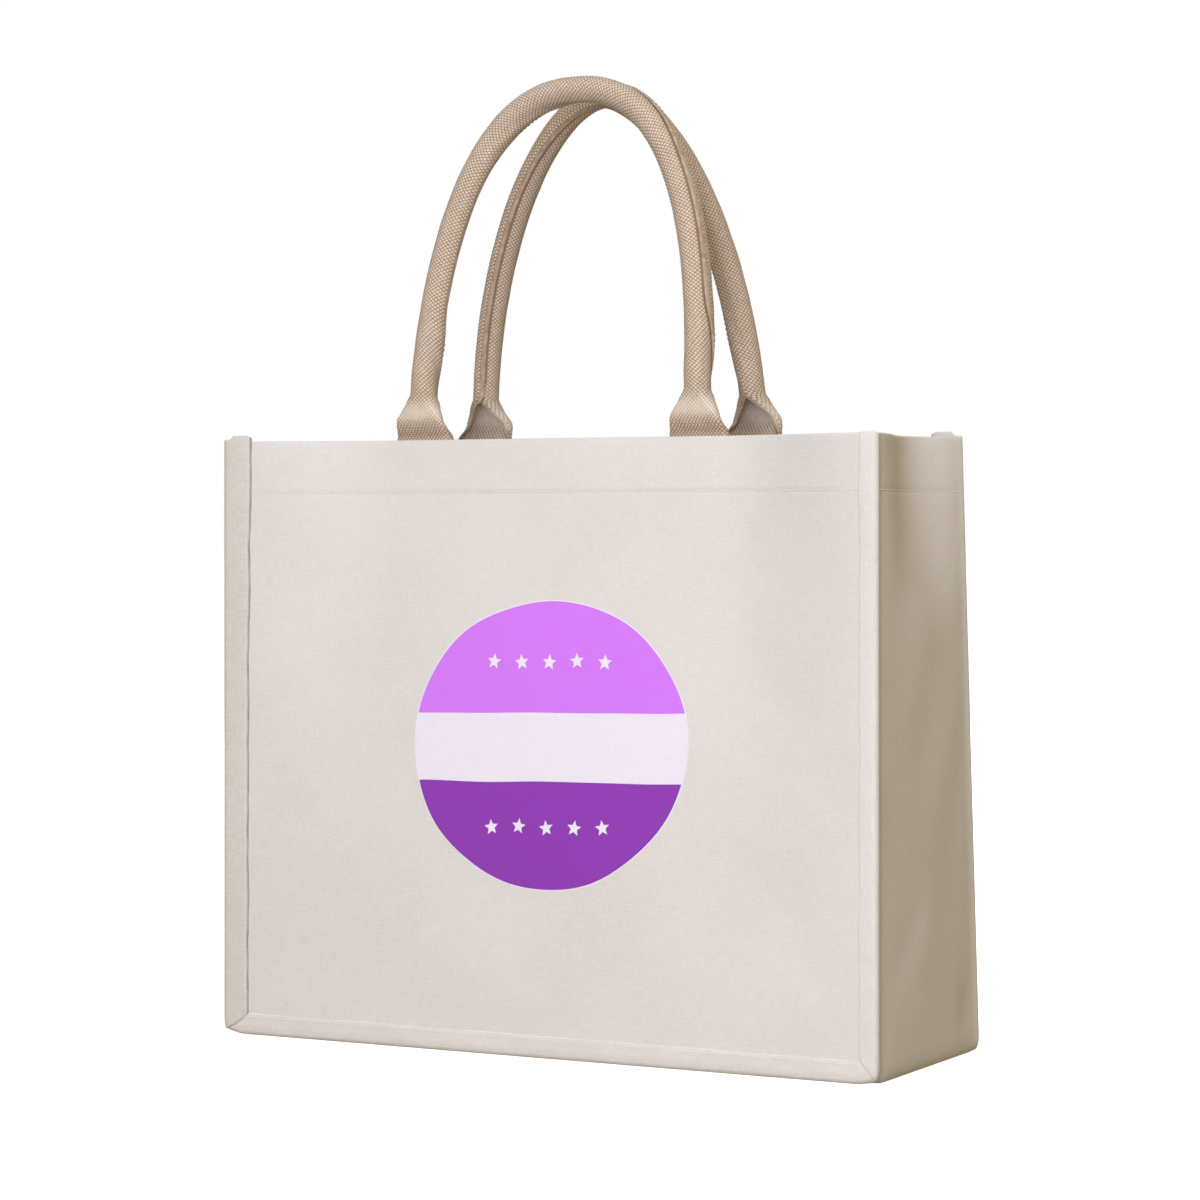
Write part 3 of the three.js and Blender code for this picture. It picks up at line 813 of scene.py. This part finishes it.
def across_webbing(wall, u, out, rise):
    """A point of the webbing's cross-section: how far it is to the right of the handle's line, and how
    far out of the handle's plane, before the webbing turns about the rope."""
    flat, bend, turn, half = section(rise)
    reach = np.abs(u) * half
    angle = np.clip((reach - flat) / bend, 0, turn)
    flap = np.maximum(reach - flat - bend * turn, 0)
    lapping = smooth(angle * np.sign(u) * wall["over"], 2.15, 2.8) * smooth(rise, 14 * MM, 21 * MM)
    round_bend = bend + out + LAP_LIFT * lapping
    right = np.minimum(reach, flat) + round_bend * np.sin(angle) + flap * np.cos(angle)
    facing = round_bend * np.cos(angle) - bend - flap * np.sin(angle)
    pushed = TUBE * smooth(rise, 0.5 * MM, 12 * MM)  # by the rope behind it
    return np.sign(u) * right, facing + pushed


def on_webbing(wall, s, u, out):
    """A point on a handle's webbing: `s` along it from the first hinge line (below 0 and past the arch's
    length it is sewn inside the hem), `u` across it from its middle as a share of half its width, and
    `out` from the middle of its thickness, away from the rope."""
    s, u, out = np.broadcast_arrays(s, u, out)
    on_arch = np.clip(s, 0, wall["length"])
    end = np.minimum(s, wall["length"] - s)  # distance from the nearer hinge line
    x, height, right_x, right_height = handle_line(wall, on_arch)
    right, facing = across_webbing(wall, u, out, end + HINGE_RISE)
    first, second = np.radians(wall["twist"])
    roll = first + (second - first) * smooth(on_arch / wall["length"], 0.3, 0.7)
    roll = roll * smooth(end, 15 * MM, 75 * MM)
    across = right * np.cos(roll) + facing * np.sin(roll)
    facing = facing * np.cos(roll) - right * np.sin(roll)
    facing = facing + wall["forward"] * smooth(end, 0, TAB_HEIGHT)
    plane_x = x + across * right_x
    plane_height = height + across * right_height
    foot, cosine, sine = handle_pose(wall)
    handle_y = foot - facing * cosine + plane_height * sine
    handle_z = HINGE_Z + facing * sine + plane_height * cosine
    sewn_z = HINGE_Z + np.minimum(end, 0)
    sewn_y = inset(wall, plane_x, sewn_z) - DEPTH / 2 + HEM_STACK + ANCHOR_GAP + WEBBING / 2 - facing
    sewn = end < 0
    y = np.where(sewn, sewn_y, handle_y)
    z = np.where(sewn, sewn_z, handle_z)
    return turned(wall, np.stack([plane_x, y, z], -1))


def yarn_tone_and_painted_light(wall, s, u, crowns):
    """The tone of the webbing's yarn, with painted light and shadow: its crowns are high, and its
    selvedges between. The lower part of a tab is painted paler, as painted light, and the yarn below it,
    inside the hem, a little darker; a painted shadow line runs beside the tube's lap."""
    rise = np.minimum(s, wall["length"] - s) + HINGE_RISE
    # Painted light: the lower tab is made paler; below it, and inside the hem, the yarn is made a little
    # darker.
    painted_tab_light = 0.45 * smooth(rise, 2 * MM, 16 * MM) * (1 - smooth(rise, 16 * MM, CLOSED_AT)) - 0.15
    painted_tab_light = painted_tab_light * (1 - smooth(rise, 16 * MM, CLOSED_AT + 4 * MM))
    height = np.where(np.abs(u) < SELVEDGE, crowns, 0.25) + painted_tab_light
    # Painted shadow: a dark line beside the tube's lap, where the lapping edge casts its shadow.
    lap_shadow = np.abs(u * wall["over"] + 2 / TUBE_LAP - 1) < SEAM_LINE / TUBE_HALF
    on_tube = (s > TAB_HEIGHT) & (s < wall["length"] - TAB_HEIGHT)
    return np.where(lap_shadow & on_tube, -0.8, height)


def webbing(wall):
    """One length of woven tape: sewn inside the hem, up through a tab into a tube, and down again."""
    sewn = HINGE_Z - ANCHOR_FOOT
    rows = round((wall["length"] + 2 * sewn) / WEAVE_CELL)
    columns = 2 * round((TAB_HALF + TUBE_HALF) / 2 / WEAVE_CELL) + 1
    s = np.linspace(-sewn, wall["length"] + sewn, rows)[:, None]
    u = np.linspace(-1, 1, columns)[None, :]
    i, j = np.meshgrid(np.arange(rows), np.arange(columns), indexing="ij")
    crowns = (i + j) % 2
    relief = WEAVE_RELIEF * (crowns - 0.5) * smooth(1 - np.abs(u), 0.02, 0.09)
    bumpy = 0.12 * MM * ripple(s, u * TUBE_HALF, 23 * MM, 2)
    outer = on_webbing(wall, s, u, WEBBING / 2 + relief + bumpy)
    inner = on_webbing(wall, s, u, -WEBBING / 2 - relief)
    threads = weave_of(s, u * TUBE_HALF, yarn_tone_and_painted_light(wall, s, u, crowns))
    name = wall["name"]
    piece = cloth(f"{name}_handle_webbing", outer, inner, threads, WEBBING_CLOTH, woven_faces)
    ends = [f"{name}_handle_{side}_{kind}" for side in ("left", "right") for kind in ("tab", "anchor")]
    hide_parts(f"{name}_handle_sleeve", *ends)
    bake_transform(piece)


def seam_stitches(wall):
    """The seam down the tube, along the edge that laps over the other."""
    edge = wall["over"] * (1 - SEAM_INSET / TUBE_HALF)

    def place(t, lift):
        return on_webbing(wall, t, edge, WEBBING / 2 + 0.1 * MM + lift)

    line = stitch_line(place, TAB_HEIGHT, wall["length"] - TAB_HEIGHT)
    name = f"{wall['name']}_handle_seam_stitch"
    thread = stitches(f"{name}es", *line, TAN_THREAD)
    finish_piece(thread, f"{wall['name']}_handle", "thread", f"{name}ing")


def rope(wall):
    """Three twisted strands inside the tube, with rounded ends."""
    s = np.linspace(ROPE_END, wall["length"] - ROPE_END, ROPE_RINGS)[:, None]
    turn = np.linspace(0, 2 * math.pi, ROPE_SIDES, endpoint=False)[None, :]
    strand = np.abs(np.sin(1.5 * (turn + 2 * math.pi * s / ROPE_LAY)))
    end = np.clip(np.minimum(s - s[0], s[-1] - s) / ROPE_RADIUS, 0, 1)
    taper = np.sqrt(1 - (1 - end) ** 2) * 0.98 + 0.02
    reach = ROPE_RADIUS * (0.8 + 0.2 * strand) * taper
    straight = dict(wall, twist=(0, 0), over=0)
    face = on_webbing(straight, s, 0, 0)
    middle = (face + on_webbing(straight, s, 1 / TUBE_LAP, 0)) / 2
    front = on_webbing(straight, s, 0, 1 * MM) - face
    front /= np.linalg.norm(front, axis=-1, keepdims=True)
    tangent = np.gradient(middle[:, 0], axis=0)[:, None]
    flank = np.cross(tangent, front)
    flank /= np.linalg.norm(flank, axis=-1, keepdims=True)
    ring = np.cos(turn)[..., None] * front + np.sin(turn)[..., None] * flank
    points = middle + reach[..., None] * ring
    name = wall["name"]
    piece = new_piece(f"{name}_handle_rope", points, tube_faces(ROPE_RINGS, ROPE_SIDES), ROPE)
    finish_piece(piece, f"{name}_handle", "rope", f"{name}_handle_core")


def anchor_stitches(wall, hand):
    """A rectangle of stitches on the webbing's end, inside the hem."""
    half = TAB_HALF - ANCHOR_MARGIN
    low, high = ANCHOR_FOOT + ANCHOR_MARGIN, HEIGHT - ANCHOR_MARGIN
    face = HEM_STACK + ANCHOR_GAP + WEBBING + 0.1 * MM

    def at(x, z, lift):
        centre = hand * HANDLE_HALF
        y = inset(wall, centre + x, z) - DEPTH / 2 + face + lift
        return turned(wall, np.stack(np.broadcast_arrays(centre + x, y, z), -1))

    sides = [
        stitch_line(lambda t, lift: at(t, low, lift), -half, half),
        stitch_line(lambda t, lift: at(t, high, lift), -half, half),
        stitch_line(lambda t, lift: at(-half, t, lift), low, high),
        stitch_line(lambda t, lift: at(half, t, lift), low, high),
    ]
    starts, ends, normals = [np.concatenate(part) for part in zip(*sides)]
    name = f"{wall['name']}_handle_{side_name(wall, hand)}_anchor"
    thread = stitches(f"{name}_stitches", starts, ends, normals, TAN_THREAD)
    finish_piece(thread, "bag", "thread", f"{name}_stitching")


# ---- the round print ----


def drawn(x, z):
    """Shifts an outline a little, as a hand-drawn one wanders."""
    turn = np.arctan2(z, x)
    grow = 1 + 0.006 * np.sin(3 * turn + 0.6) + 0.004 * np.sin(5 * turn + 2.0) + 0.003 * np.sin(9 * turn)
    return x * grow, z * grow


def star_points(x, z, tilt):
    angle = tilt + np.arange(10) * math.pi / 5
    radius = np.where(np.arange(10) % 2, STAR_RADIUS * STAR_WAIST, STAR_RADIUS)
    return np.stack([x + radius * np.sin(angle), z + radius * np.cos(angle)], -1)


def disc_points(margin, start, end):
    """The disc's outline between two angles, a margin in from its edge."""
    angle = np.linspace(start, end, int((end - start) * PRINT_HALF_WIDTH / OUTLINE_STEP))
    x = (PRINT_HALF_WIDTH - margin) * np.cos(angle)
    z = (PRINT_HALF_HEIGHT - margin) * np.sin(angle)
    return np.stack(drawn(x, z), -1)


def inside(polygon, points):
    """Whether each point is inside a closed outline."""
    x, z = points[:, 0, None], points[:, 1, None]
    ax, az = polygon.T
    bx, bz = np.roll(polygon, -1, 0).T
    crosses = (az > z) != (bz > z)
    with np.errstate(divide="ignore", invalid="ignore"):
        at = ax + (z - az) * (bx - ax) / (bz - az)
    return (crosses & (x < at)).sum(-1) % 2 == 1


def filled(outline, holes):
    """Points and triangles that fill an outline, except its holes."""
    loops = [outline, *holes]
    across = np.arange(-PRINT_HALF_WIDTH, PRINT_HALF_WIDTH, FILM_GRID)
    grid = np.stack(np.meshgrid(across, across), -1).reshape(-1, 2)
    apart = np.min([np.linalg.norm(grid[:, None] - loop[None], axis=-1).min(-1) for loop in loops], 0)
    flat = np.concatenate([*loops, grid[apart > 2 * MM]])
    edges, first = [], 0
    for loop in loops:
        count = len(loop)
        edges += [(first + k, first + (k + 1) % count) for k in range(count)]
        first += count
    points, _, faces, *_ = geometry.delaunay_2d_cdt([tuple(p) for p in flat], edges, [], 0, 1e-7)
    points = np.array([tuple(p) for p in points])
    faces = np.array([tuple(f) for f in faces])
    middles = points[faces].mean(1)
    kept = inside(outline, middles)
    for hole in holes:
        kept &= ~inside(hole, middles)
    used, faces = np.unique(faces[kept], return_inverse=True)
    return points[used], faces.reshape(-1, 3)


def film(name, slot, ink, outline, holes, out):
    """A film of ink on the front wall, inside `outline` and outside each of `holes`, in x and z from the
    print's middle. It follows the cloth under it."""
    points, faces = filled(outline, holes)
    cosine, sine = math.cos(PRINT_TILT), math.sin(PRINT_TILT)
    x = PRINT_X + points[:, 0] * cosine - points[:, 1] * sine
    z = PRINT_Z + points[:, 0] * sine + points[:, 1] * cosine
    top, bottom = on_wall(FRONT, x, z, out), on_wall(FRONT, x, z, INK_ROOT)
    sides = np.concatenate([faces[:, [0, 1]], faces[:, [1, 2]], faces[:, [2, 0]]])
    both, counts = np.unique(np.sort(sides, 1), axis=0, return_counts=True)
    rim = {tuple(edge) for edge in both[counts == 1].tolist()}
    count = len(points)
    made = faces.tolist() + (faces[:, ::-1] + count).tolist()
    made += [[b, a, a + count, b + count] for a, b in sides.tolist() if (min(a, b), max(a, b)) in rim]
    piece = new_piece(name, np.concatenate([top, bottom]), made, ink)
    piece.data.set_sharp_from_angle(angle=math.radians(40))
    store(piece, "weave", np.tile(weave_of(x, z), (2, 1)))
    finish_piece(piece, "bag", slot, name.replace("_film", ""))


def cap_outline(up):
    """The part of the disc above (1) or below (-1) the pale band, with a slightly uneven straight edge."""
    edge = math.asin((BAND_TOP if up > 0 else BAND_FOOT) / PRINT_HALF_HEIGHT)
    middle = 0 if up > 0 else math.pi
    arc = disc_points(0.6 * MM, middle + edge, middle + math.pi - edge)
    x, z = np.linspace(arc[-1], arc[0], 60)[1:-1].T
    z = z + 0.5 * MM * waver(x, 90 * MM, 2 + up)
    return np.concatenate([arc, np.stack([x, z], -1)])


def round_print():
    disc = disc_points(0, 0, 2 * math.pi)[:-1]
    film("print_ground_film", "ink_pale", INKS["pale"], disc, [], GROUND_INK)
    for up, name, slot in ((1, "upper", "lilac"), (-1, "lower", "purple")):
        row = []
        for k in range(STARS):
            x = (k - (STARS - 1) / 2) * STAR_PITCH
            lift = 0.5 * MM * math.sin(2.4 * k + up)
            row.append(star_points(x, up * STAR_ROW + lift, 0.15 * math.sin(3 * k + up)))
        film(f"print_{name}_band_film", f"ink_{slot}", INKS[slot], cap_outline(up), row, BAND_INK)


# ---- camera, light and floor ----

CAMERA_PLACE = (0.9556, -1.7831, 0.2991)
CAMERA_TURN = math.radians(28.112)
LENS = 103.4  # mm
LENS_SHIFT = -0.0567
SKY = (0.238, 0.192, 0.095, 1)
FLOOR_REACH = 30.0


def area_light(name, place, aim, size, power, colour):
    """A square light, aimed from one place at another. Its size is in metres and its power in watts."""
    data = bpy.data.lights.new(name, "AREA")
    data.shape = "SQUARE"
    data.size, data.energy, data.color = size, power, colour
    light = bpy.data.objects.new(name, data)
    light.location = place
    light.rotation_mode = "QUATERNION"
    light.rotation_quaternion = (Vector(aim) - Vector(place)).to_track_quat("-Z", "Y")
    bpy.context.scene.collection.objects.link(light)


def studio():
    """A soft warm sky that the camera sees as white, and six lights."""
    scene = bpy.context.scene
    scene.view_settings.view_transform = "Standard"
    world = bpy.data.worlds.new("studio")
    scene.world = world
    world.use_nodes = True
    nodes, links = world.node_tree.nodes, world.node_tree.links
    seen = nodes.new("ShaderNodeLightPath")
    sky = nodes.new("ShaderNodeMix")
    sky.data_type = "RGBA"
    sky.inputs[6].default_value = SKY  # 6 and 7 are a mix's two colours
    sky.inputs[7].default_value = (1, 1, 1, 1)
    links.new(seen.outputs["Is Camera Ray"], sky.inputs["Factor"])
    links.new(sky.outputs[2], nodes["Background"].inputs["Color"])

    area_light("key", (0.7, -2.94, 1.2), (0, 0, 0.22), 1.6, 34.5, (0.915, 0.955, 1.12))
    area_light("left_fill", (-1.8, -2.2, 1.0), (0, 0, 0.3), 1.2, 4, (0.94, 0.95, 1.08))
    area_light("right_low", (0.5, -1.55, 0.1), (0.2, -0.07, 0.1), 0.6, 11, (0.95, 0.98, 1.07))
    area_light("warm_side", (2.6, 0.2, 0.6), (0.2, 0, 0.18), 1.6, 3, (1, 0.55, 0.05))
    area_light("back_fill", (-0.8, 2.9, 1.2), (0, 0, 0.22), 1.6, 38, (0.98, 0.98, 1.0))
    area_light("top", (1.0, -1.0, 2.4), (0, 0, 0.35), 1.4, 25, (0.95, 0.98, 1.05))


def pale_floor():
    """A plain white floor, which neither lights the bag nor shows in its sheen."""
    mesh = bpy.data.meshes.new("floor")
    far = FLOOR_REACH
    mesh.from_pydata([(-far, -far, 0), (far, -far, 0), (far, far, 0), (-far, far, 0)], [], [(0, 1, 2, 3)])
    floor = bpy.data.objects.new("floor", mesh)
    bpy.context.scene.collection.objects.link(floor)
    paper = bpy.data.materials.new("floor_paper")
    paper.use_nodes = True
    shader = paper.node_tree.nodes["Principled BSDF"]
    shader.inputs["Base Color"].default_value = (0.92, 0.92, 0.92, 1)
    shader.inputs["Roughness"].default_value = 1.0
    shader.inputs["Specular IOR Level"].default_value = 0.0
    shader.inputs["Emission Color"].default_value = (1, 1, 1, 1)
    shader.inputs["Emission Strength"].default_value = 1.0
    mesh.materials.append(paper)
    floor.visible_diffuse = False
    floor.visible_glossy = False


def camera():
    data = bpy.data.cameras.new("camera")
    data.lens = LENS
    data.sensor_width = 36
    data.shift_y = LENS_SHIFT
    data.clip_end = 100
    seen_from = bpy.data.objects.new("camera", data)
    seen_from.location = CAMERA_PLACE
    seen_from.rotation_euler = (math.radians(90), 0, CAMERA_TURN)
    bpy.context.scene.collection.objects.link(seen_from)
    bpy.context.scene.camera = seen_from


# ---- assembly ----

camera()
studio()
pale_floor()
base_cloth()
for wall in (FRONT, BACK):
    wall_cloth(wall)
    for hand, width in ((-1, WIDE_BINDING), (1, NARROW_BINDING)):
        upright_binding(wall, hand, width)
        anchor_stitches(wall, hand)
    base_binding(wall)
    hem_stitches(wall)
    webbing(wall)
    seam_stitches(wall)
    rope(wall)
for name, facing in (("left", -1), ("right", 1)):
    gusset_cloth(name, facing)
    gusset_stitches(name, facing)
round_print()
